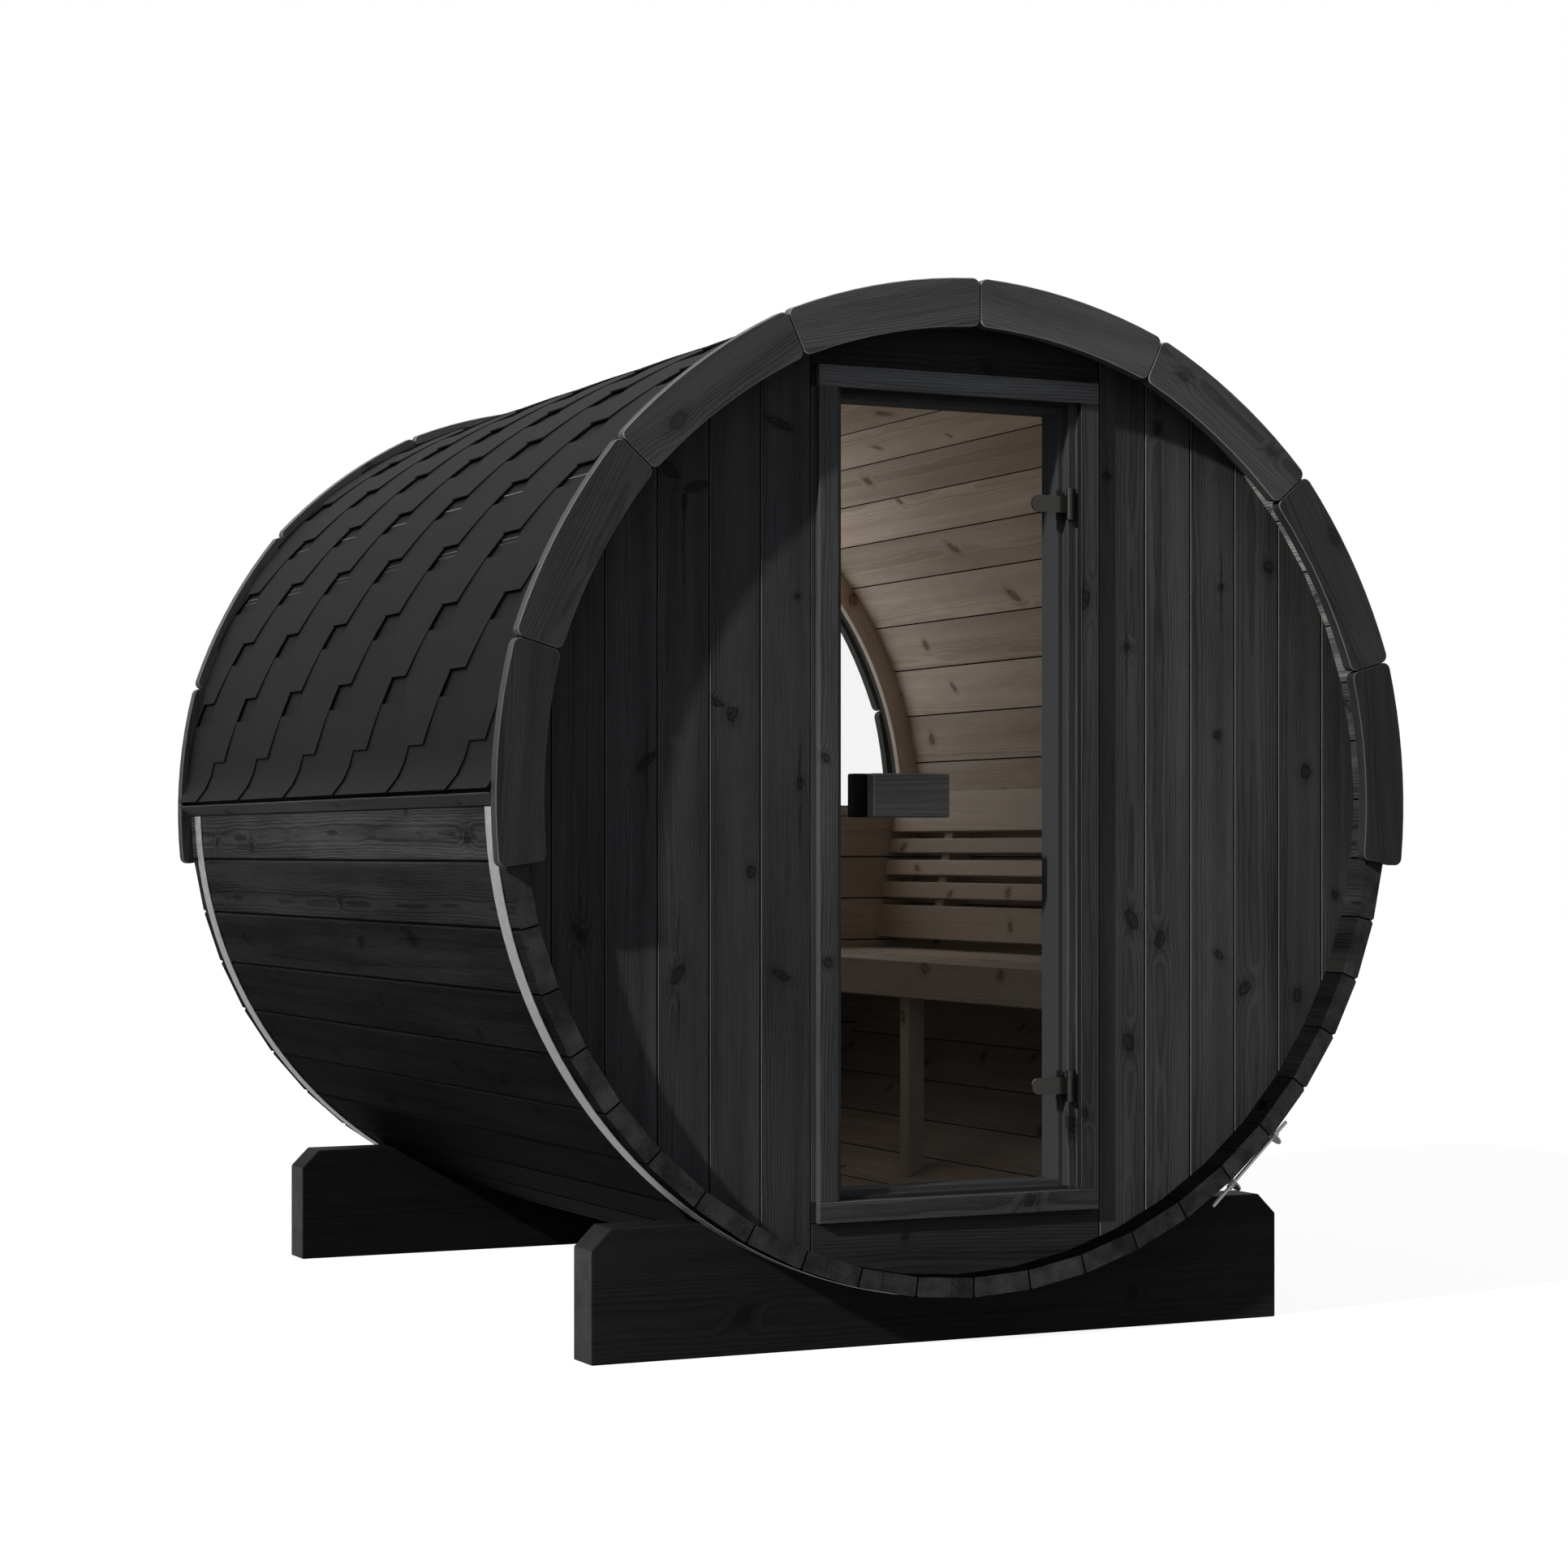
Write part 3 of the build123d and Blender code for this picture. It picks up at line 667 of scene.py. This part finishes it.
def write_grain(shape, snap=True, edges=True, spread=0.15, level=1.0, rise=0.0, knots=True, seen=()):
    """Give each board its grain place, its joints' distance, its own tone with painted shade, and its
    knots.
    """
    grain = shape.verts.layers.float_vector.new("grain")
    board = shape.verts.layers.float.new("board")
    stain = shape.verts.layers.float.new("stain")
    edge = shape.verts.layers.float_vector.new("edge")
    sawn = shape.faces.layers.float.new("sawn")
    knot = shape.loops.layers.float_vector.new("knot")
    for face in shape.faces:
        for loop in face.loops:
            loop[knot] = (FAR, FAR, FAR)
    for points in islands(shape):
        along, across, through = board_axes(points, snap)
        middle = sum((point.co for point in points), Vector()) / len(points)
        places = [(point.co - middle).dot(across) for point in points]
        middle = middle + across * (max(places) + min(places)) / 2
        half = (max(places) - min(places)) / 2
        lengths = [(point.co - middle).dot(along) for point in points]
        shift = Vector((random.uniform(0, 40), random.uniform(-0.05, 0.05), random.uniform(0.03, 0.09)))
        tone = random.uniform(1 - spread, 1 + spread)
        # Painted shade and light: rise darkens the stain the lower a board lies, and level makes a whole
        # piece lighter or darker, which on several pieces is painted light or shade.
        stain_tone_and_painted_light = tone * level * exp((middle.z - AXIS_Z) * rise)
        if knots:
            write_knots(shape, points, middle, along, across, min(lengths), max(lengths), half, seen)
        own = connected_faces(points)
        for face in own:
            face[sawn] = float(abs(face.normal.dot(along)) > SAWN)
        for point in {vert for face in own for vert in face.verts}:
            off = point.co - middle
            point[grain] = Vector((off.dot(along), off.dot(across), off.dot(through))) + shift
            # Painted shade on the bare tone: the lower the board, the darker.
            point[board] = tone * exp((middle.z - AXIS_Z) * PAINTED_SHADE_RISE)
            point[stain] = stain_tone_and_painted_light
            point[edge] = (half + off.dot(across), half - off.dot(across), 0) if edges else (1, 1, 0)


def connected_faces(points):
    """All faces of the solid that a list of its points belongs to."""
    found = {}
    edge = list(points[0].link_faces)
    while edge:
        face = edge.pop()
        if face in found:
            continue
        found[face] = True
        edge.extend(other for line in face.edges for other in line.link_faces if other not in found)
    return list(found)


def write_mitres(shape):
    """On a ring of boards, the distances to the joints are measured to the ends, not to the long edges."""
    edge = shape.verts.layers.float_vector["edge"]
    for points in islands(shape):
        centre = sum((point.co for point in points), Vector()) / len(points)
        out = Vector((centre.x, 0, centre.z - AXIS_Z)).normalized()
        round_way = Vector((-out.z, 0, out.x))
        turns = []
        for point in points:
            arm = Vector((point.co.x, 0, point.co.z - AXIS_Z))
            turns.append((atan2(arm.dot(round_way), arm.dot(out)), arm.length))
        end = max(abs(turn) for turn, _ in turns)
        for point, (turn, radius) in zip(points, turns):
            point[edge] = ((end + turn) * radius, (end - turn) * radius, 0)


def finish_piece(shape, name, finish, body, smooth=SHARP):
    """Make a bmesh into an object that rides on a body."""
    mesh = bpy.data.meshes.new(name)
    shape.to_mesh(mesh)
    shape.free()
    mesh.materials.append(finish)
    mesh.shade_smooth()
    mesh.set_sharp_from_angle(angle=smooth)
    piece = bpy.data.objects.new(name, mesh)
    bpy.context.scene.collection.objects.link(piece)
    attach(piece, body)
    return piece


def dress(node, finish, arris=0.002, segments=1, body="cabin", slot="black_wood", mitred=False, **marks):
    """A softened copy of a CAD node that stands for it."""
    shape = bmesh.new()
    shape.from_mesh(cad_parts[node].data)
    bmesh.ops.remove_doubles(shape, verts=shape.verts, dist=MERGE)
    bmesh.ops.dissolve_limit(shape, angle_limit=FLAT, verts=shape.verts, edges=shape.edges)
    worn_and_highlight = shape.faces.layers.float.new("worn_and_highlight")
    if arris:
        sharp = [edge for edge in shape.edges
                 if len(edge.link_faces) == 2 and edge.calc_face_angle(0.0) > SHARP]
        made = bmesh.ops.bevel(shape, geom=sharp, offset=arris, segments=segments, profile=0.5,
                               affect="EDGES", material=-1, clamp_overlap=True)
        # The bevel faces are marked for wear and a painted highlight.
        for face in made["faces"]:
            face[worn_and_highlight] = 1.0
    write_grain(shape, **marks)
    if mitred:
        write_mitres(shape)
    piece = finish_piece(shape, node + "_timber", finish, body, smooth=radians(18))
    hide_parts(node)
    return piece

# %% [markdown]
# Each timber node now gets its wood, the width of its arris and its marks. Some of these marks are
# painted shade and light: rise paints the lower staves and fascia boards darker, and level paints a few
# pieces lighter or darker as a whole. The boards of the end walls have the widest arris, which makes
# their V joints. The staves have none here, because the coopered chamfers between them are already in
# the CAD model.

# %% Dress every timber node
WALL_V = 0.0026
for node in ("front_wall_left", "front_wall_right", "rear_wall_boards"):
    dress(node, WALL_WOOD, arris=WALL_V, seen=SEEN_KNOTS if node == "front_wall_left" else (),
          level=1.3 if node == "front_wall_right" else 1.0)
for node in ("front_panel_top", "front_panel_bottom"):
    dress(node, PANEL_WOOD, arris=WALL_V)
for node in ("rear_window_rail", "rear_window_arch"):
    dress(node, WALL_WOOD, arris=0.0008, edges=False, spread=0.05)
# Painted shade: rise paints the lower staves darker.
for node in ("staves_left", "staves_right", "staves_top", "staves_bottom"):
    dress(node, STAVE_WOOD, arris=0.0, spread=0.2, rise=0.0 if node == "staves_top" else 3.7, mitred=True)
# Painted shade: rise paints the lower boards of the fascia darker.
for node in ("fascia_front", "fascia_rear"):
    dress(node, FASCIA_WOOD, arris=0.0018, segments=2, snap=False, mitred=True, spread=0.12, rise=1.2)
dress("door_trim_sides", SIDE_TRIM_WOOD, arris=0.0012, edges=False)
# Painted light: the trim head is painted much lighter, as if lit where the arch's shadow lies on it.
dress("door_trim_head", TRIM_WOOD, arris=0.0012, edges=False, level=2.3)
dress("door_trim_sill", TRIM_WOOD, arris=0.0012, edges=False)
dress("door_jambs", FRAME_WOOD, arris=0.0008, edges=False)
# Painted shade: the head and sill of the door frame are painted darker, for the shade under the trim.
dress("door_head_and_sill", FRAME_WOOD, arris=0.0008, edges=False, level=0.35)
dress("cradle_front", CRADLE_WOOD, arris=0.003, segments=2, edges=False)
# Painted shade: the rear cradle is painted darker than the front one.
dress("cradle_rear", CRADLE_WOOD, arris=0.003, segments=2, edges=False, level=0.5)
for node in ("roof_batten_left", "roof_batten_right"):
    dress(node, BATTEN_WOOD, arris=0.001, edges=False)
for node in ("bench_apron", "bench_seat", "bench_bearers", "bench_leg",
             "backrest_boards", "backrest_uprights"):
    dress(node, BARE_WOOD, arris=0.002, slot="natural_wood", edges=False)
# Painted shade: the inner handle is painted near black, as it lies in deep shade behind the glass.
for node, level in (("door_handle_outer", 1.0), ("door_handle_inner", 0.1)):
    dress(node, HANDLE_WOOD, arris=0.0025, segments=3, body="door", edges=False, knots=False, level=level)

# %% [markdown]
# The boards of an end wall, upright in front and level behind, hold together by a tongue in a groove,
# which also keeps the draught and the daylight out. The CAD boards are plain, so a thin tongue is laid
# in the middle of the wall at each joint, and one under the rail of the rear window. Each starts as a
# cube that is stretched to its place.

# %% Tongues
TONGUE_WIDE = 0.012
TONGUE_T = 0.004
TONGUE_SHORT = 0.02


def tongues(name, node, step, run):
    """One tongue at each joint of boards that follow each other on the step axis and run on another."""
    boards = bmesh.new()
    boards.from_mesh(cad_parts[node].data)
    bmesh.ops.remove_doubles(boards, verts=boards.verts, dist=MERGE)
    spans = []
    for points in islands(boards):
        first = min(point.co[step] for point in points)
        ends = [point.co[run] for point in points if point.co[step] < first + MERGE]
        spans.append((first, min(ends), max(ends), sum(point.co.y for point in points) / len(points)))
    boards.free()
    shape = bmesh.new()
    for first, low, high, depth in sorted(spans)[1:]:
        place = Vector((0, depth, 0))
        place[step], place[run] = first, (low + high) / 2
        size = Vector((0, TONGUE_T, 0))
        size[step], size[run] = TONGUE_WIDE, high - low - TONGUE_SHORT
        bmesh.ops.create_cube(shape, size=1.0,
                              matrix=Matrix.Translation(place) @ Matrix.Diagonal((*size, 1.0)))
    write_grain(shape, edges=False)
    return finish_piece(shape, name, WALL_WOOD, "cabin")


X, Z = 0, 2
tongues("front_tongues_left", "front_wall_left", X, Z)
tongues("front_tongues_right", "front_wall_right", X, Z)
tongues("rear_tongues", "rear_wall_boards", Z, X)
rail_low, rail_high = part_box("rear_window_rail")
rail_strip = bmesh.new()
bmesh.ops.create_cube(rail_strip, size=1.0, matrix=Matrix.Translation(
    (0, (rail_low.y + rail_high.y) / 2, rail_low.z)) @ Matrix.Diagonal(
    (rail_high.x - rail_low.x - 0.1, TONGUE_T, TONGUE_WIDE, 1.0)))
write_grain(rail_strip, edges=False)
finish_piece(rail_strip, "rail_tongue", WALL_WOOD, "cabin")

# %% [markdown]
# ## Shingles
# The upper half is covered with hexagonal bitumen shingles. A course is a row of tabs whose narrow flat
# ends point down the slope, and each course covers the notches of the one below. A flat tab is drawn once
# in the plane of its own sheet, cut into strips so that it can bend, given its thickness, and then every
# point is moved onto the barrel: the way along the barrel stays, and the way down the slope becomes an
# angle. The lowest courses flare out over the batten, which is a radius that grows towards the edge.

# %% Shingle measures
TAB_PITCH = 0.360
TAB_FLAT = 0.098
EXPOSURE = 0.150
TAB_LONG = 0.245
TAB_T = 0.0035
STARTER_T = 0.0030
FIRST_ROW = 0.103
FIRST_CENTRE = -0.966
JOINT_GAP = 0.0016
NOTCH_OVER = 0.008
STARTER_OVER = 0.05
TAB_LIFT = 0.0040
ROOF_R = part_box("roof_left")[1].z - AXIS_Z
SHEET_R = ROOF_R - 0.006
EDGE = 0.008
FLARE_LONG = 0.072
FLARE_TIP = -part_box("roof_left")[0].x - 0.0004
FLARE_OUT = (FLARE_TIP - SHEET_R - 0.0035 - 0.0030) / (1 - EDGE / FLARE_LONG) ** 2
ROOF_END = STAVE_END - 0.0005
CROWN = SHEET_R * pi / 2
STRIP = 0.03
print("from eaves to crown", round(CROWN, 3), "m, in courses of", EXPOSURE)


def bitumen():
    """Dark mineral granules: a speckle, a little mottling, and each tab its own tone."""
    made, nodes, links = material("bitumen_shingle")
    tree = made.node_tree
    where = nodes.new("ShaderNodeTexCoord")
    speck = add_noise(tree, where.outputs["Object"], (620.0, 620.0, 620.0), 2.0, 0.7)
    cloud = add_noise(tree, where.outputs["Object"], (7.0, 7.0, 7.0), 3.0)
    level = add_math(tree, "ADD", add_math(tree, "MULTIPLY", add_remap(tree, speck, 0.3, 0.75), 0.55),
                     add_math(tree, "MULTIPLY", cloud, 0.35))
    level = add_math(tree, "ADD", level, add_math(tree, "MULTIPLY", add_attribute(tree, "board"), 0.16))
    color = add_color_mix(tree, level, (0.0020, 0.0020, 0.0023), (0.0104, 0.0104, 0.0111))
    surface = nodes.new("ShaderNodeBsdfPrincipled")
    links.new(color, surface.inputs["Base Color"])
    surface.inputs["Roughness"].default_value = 0.7
    surface.inputs["Specular IOR Level"].default_value = 0.1
    relief = nodes.new("ShaderNodeBump")
    relief.inputs["Strength"].default_value = 0.5
    relief.inputs["Distance"].default_value = 0.0008
    links.new(speck, relief.inputs["Height"])
    links.new(relief.outputs[0], surface.inputs["Normal"])
    links.new(surface.outputs[0], nodes["Material Output"].inputs["Surface"])
    return made


BITUMEN = bitumen()


def flat_sheet(shape, outline, thickness, tone, layers):
    """A flat plate in the plane of along and up-slope, with strips across it so that it can bend."""
    points = [shape.verts.new((along, up, 0)) for along, up in outline]
    face = shape.faces.new(points)
    geometry = [face, *face.verts, *face.edges]
    low = min(up for _, up in outline)
    high = max(up for _, up in outline)
    for i in range(1, int((high - low) / STRIP) + 1):
        cut = bmesh.ops.bisect_plane(shape, geom=geometry, plane_no=(0, 1, 0),
                                     plane_co=(0, low + i * STRIP, 0))
        geometry = cut["geom"]
    faces = [item for item in geometry if isinstance(item, bmesh.types.BMFace)]
    raised = bmesh.ops.extrude_face_region(shape, geom=faces, use_keep_orig=True)
    top = [item for item in raised["geom"] if isinstance(item, bmesh.types.BMVert)]
    bmesh.ops.translate(shape, verts=top, vec=(0, 0, thickness))
    own = set(top) | {vert for item in faces for vert in item.verts}
    for vert in own:
        vert[layers] = tone
    return own


def lie_on_barrel(vert, side, lift):
    """Move a point of a flat sheet onto the barrel, at its own lift above the boards."""
    along, up, thick = vert.co
    flare = FLARE_OUT * max(0.0, 1.0 - up / FLARE_LONG) ** 2
    radius = SHEET_R + lift + thick + flare
    angle = up / SHEET_R
    vert.co = (side * radius * cos(angle), along, AXIS_Z + radius * sin(angle))


def shingle_side(side, name, node):
    """Underlay, starter strip and all the courses of one side."""
    shape = bmesh.new()
    tone = shape.verts.layers.float.new("board")
    whole = [(-ROOF_END, EDGE), (ROOF_END, EDGE), (ROOF_END, CROWN), (-ROOF_END, CROWN)]
    for vert in flat_sheet(shape, whole, 0.001, 0.3, tone):
        lie_on_barrel(vert, side, -0.0035)
    starter_top = FIRST_ROW + STARTER_OVER
    starter = [(-ROOF_END, EDGE), (ROOF_END, EDGE), (ROOF_END, starter_top), (-ROOF_END, starter_top)]
    for vert in flat_sheet(shape, starter, STARTER_T, 0.5, tone):
        lie_on_barrel(vert, side, -0.002)
    slope = (TAB_PITCH / 2 - TAB_FLAT) / EXPOSURE
    rows = int((CROWN - FIRST_ROW) / EXPOSURE) + 1
    for row in range(-1, rows):
        base = FIRST_ROW + row * EXPOSURE
        centre = FIRST_CENTRE - (TAB_PITCH / 2 if row % 2 else 0)
        notch = EXPOSURE + NOTCH_OVER
        wide = TAB_FLAT / 2 + slope * notch
        tab_top = min(base + TAB_LONG, CROWN)
        while centre - TAB_PITCH / 2 < ROOF_END:
            low = max(base, EDGE)
            foot = TAB_FLAT / 2 + slope * (low - base)
            half = (TAB_PITCH - JOINT_GAP) / 2
            outline = [(-foot, low), (foot, low), (wide, base + notch), (half, base + notch),
                       (half, tab_top), (-half, tab_top), (-half, base + notch), (-wide, base + notch)]
            if tab_top <= base + notch:
                top_wide = TAB_FLAT / 2 + slope * (tab_top - base)
                outline = [(-foot, low), (foot, low), (top_wide, tab_top), (-top_wide, tab_top)]
            own = flat_sheet(shape, outline, TAB_T, random.random(), tone)
            for vert in own:
                up = vert.co.y
                lift = max(0.0, 1.0 - (up - base) / EXPOSURE) * TAB_LIFT
                vert.co.x += centre
                vert.co.x = max(-ROOF_END, min(ROOF_END, vert.co.x))
                lie_on_barrel(vert, side, lift)
            centre += TAB_PITCH
    bmesh.ops.remove_doubles(shape, verts=shape.verts, dist=1e-6)
    bmesh.ops.dissolve_degenerate(shape, dist=1e-6, edges=shape.edges)
    bmesh.ops.recalc_face_normals(shape, faces=shape.faces)
    print(name, "faces", len(shape.faces))
    piece = finish_piece(shape, name, BITUMEN, "cabin")
    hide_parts(node)
    return piece


shingle_side(-1, "shingles_left", "roof_left")
shingle_side(1, "shingles_right", "roof_right")

# %% [markdown]
# ## Metal
# The bands and their rods are bright galvanised steel, and the hinges are dark satin nickel. Both are
# plain metals with a fine scatter of roughness, because a perfectly even metal looks like plastic.

# %% Metal finishes


def metal(name, color, roughness, spread, streak=(60.0, 60.0, 60.0)):
    """A metal whose roughness varies a little over it."""
    made, nodes, links = material(name)
    tree = made.node_tree
    where = nodes.new("ShaderNodeTexCoord")
    cloud = add_noise(tree, where.outputs["Object"], streak, 3.0)
    surface = nodes.new("ShaderNodeBsdfPrincipled")
    tone = add_color_mix(tree, cloud, tuple(0.9 * channel for channel in color), color)
    links.new(tone, surface.inputs["Base Color"])
    surface.inputs["Metallic"].default_value = 1.0
    links.new(add_remap(tree, cloud, 0.0, 1.0, roughness - spread, roughness + spread),
              surface.inputs["Roughness"])
    links.new(surface.outputs[0], nodes["Material Output"].inputs["Surface"])
    return made


STEEL = metal("galvanised_steel", (0.78, 0.79, 0.80), 0.42, 0.1)
NICKEL = metal("satin_nickel", (0.115, 0.113, 0.108), 0.30, 0.05, (200.0, 200.0, 900.0))


def keep(node, finish):
    """Leave a CAD node as it is and give it a finish."""
    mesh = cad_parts[node].data
    mesh.materials.clear()
    mesh.materials.append(finish)


for node in ("band_front", "band_rear", "band_tensioners"):
    keep(node, STEEL)
for node in ("hinge_clamps", "hinge_leaves"):
    keep(node, NICKEL)

# %% [markdown]
# A lug is riveted to the end of each strap. The head of a rivet is a sphere pressed flat on the band,
# half of it sunk out of sight.

# %% Rivets
RIVET_R = 0.0042
RIVET_FLAT = 0.55
RIVET_TURNS = (radians(-44.3), radians(-51.5))
RIVET_OFF = -0.015

heads = bmesh.new()
for node in ("band_front", "band_rear"):
    band_low, band_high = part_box(node)
    for turn in RIVET_TURNS:
        out = Vector((cos(turn), 0, sin(turn)))
        spot = out * -band_low.x + Vector((0, (band_low.y + band_high.y) / 2 + RIVET_OFF, AXIS_Z))
        turned = out.to_track_quat("Z", "Y").to_matrix().to_4x4()
        pressed = Matrix.Translation(spot) @ turned @ Matrix.Diagonal((1, 1, RIVET_FLAT, 1))
        bmesh.ops.create_uvsphere(heads, u_segments=20, v_segments=10, radius=RIVET_R, matrix=pressed)
print("rivet heads", len(heads.faces) // 200)
finish_piece(heads, "rivet_heads", STEEL, "cabin")

# %% [markdown]
# ## Glass and rubber
# The door is lightly smoked glass and the rear window is clear. Light has to reach the bench through
# them. So each is a thin dark film with a low alpha, which lets lamps shine through, and a sharp gloss.

# %% Glass finishes


def glass(name, color, alpha, gloss):
    """A clear sheet that dims what is behind it by its alpha."""
    made, nodes, links = material(name)
    surface = nodes.new("ShaderNodeBsdfPrincipled")
    surface.inputs["Base Color"].default_value = (*color, 1.0)
    surface.inputs["Roughness"].default_value = 0.03
    surface.inputs["Alpha"].default_value = alpha
    surface.inputs["Specular IOR Level"].default_value = gloss
    links.new(surface.outputs[0], nodes["Material Output"].inputs["Surface"])
    return made


def rubber():
    """Matt black with a faint grain."""
    made, nodes, links = material("black_rubber_pad")
    tree = made.node_tree
    where = nodes.new("ShaderNodeTexCoord")
    grit = add_noise(tree, where.outputs["Object"], (300.0, 300.0, 300.0), 2.0)
    surface = nodes.new("ShaderNodeBsdfPrincipled")
    links.new(add_color_mix(tree, grit, (0.006, 0.006, 0.006), (0.012, 0.012, 0.012)),
              surface.inputs["Base Color"])
    surface.inputs["Roughness"].default_value = 0.7
    links.new(surface.outputs[0], nodes["Material Output"].inputs["Surface"])
    return made


keep("door_glass", glass("smoked_glass", (0.02, 0.017, 0.014), 0.035, 0.5))
keep("rear_window_glass", glass("clear_glass", (0.8, 0.9, 0.88), 0.02, 0.5))
keep("hinge_pads", rubber())
